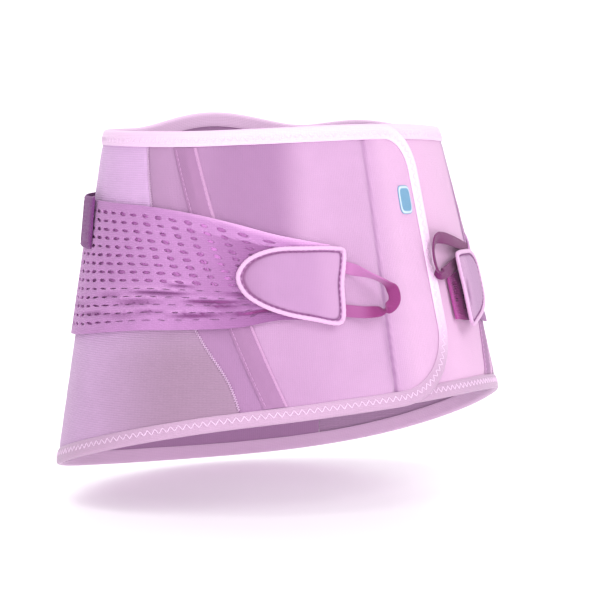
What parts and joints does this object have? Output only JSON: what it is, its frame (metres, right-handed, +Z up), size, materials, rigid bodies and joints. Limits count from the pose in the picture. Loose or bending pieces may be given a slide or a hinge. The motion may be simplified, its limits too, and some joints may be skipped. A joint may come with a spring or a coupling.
{
  "type": "lumbosacral support belt",
  "caption": "Pink elastic lumbosacral support belt in its worn shape, with a front flap, slanted stay channels, side pull straps with hand tabs and finger loops, and a dark back band.",
  "frame": {"origin": "on the trunk's upright axis, level with the middle of the pull straps", "axes": "+Z up, -Y to the wearer's front, +X to the wearer's left"},
  "size_m": [0.3422, 0.2698, 0.2551],
  "materials": {
    "panel_fabric": "matte brushed knit",
    "gusset_elastic": "matte ribbed elastic",
    "binding_tape": "soft satin tape with zigzag stitches",
    "channel_fabric": "matte twill tape",
    "strap_mesh": "matte pierced elastic mesh",
    "tab_fabric": "matte plush knit",
    "tab_piping": "soft satin piping",
    "loop_webbing": "matte woven webbing",
    "dark_webbing": "matte woven webbing",
    "hook_tape": "rough hook tape",
    "tag_print": "soft matte tag, plain"
  },
  "bodies": {
    "root": {"front_panel_right": "panel_fabric", "front_panel_left": "panel_fabric", "back_panel": "panel_fabric", "side_gusset_left": "gusset_elastic", "side_gusset_right": "gusset_elastic", "hem_binding": "binding_tape", "top_binding": "binding_tape", "flap_binding": "binding_tape", "inner_end_binding": "binding_tape", "stay_channel_left": "channel_fabric", "stay_channel_right": "channel_fabric", "pull_strap_left": "strap_mesh", "pull_strap_right": "strap_mesh", "hand_tab_left": "tab_fabric", "hand_tab_right": "tab_fabric", "tab_binding_left": "tab_piping", "tab_binding_right": "tab_piping", "finger_loop_left": "loop_webbing", "finger_loop_right": "loop_webbing", "back_band": "dark_webbing", "closure_patch": "hook_tape", "plain_tag": "tag_print"}
  },
  "joints": []
}
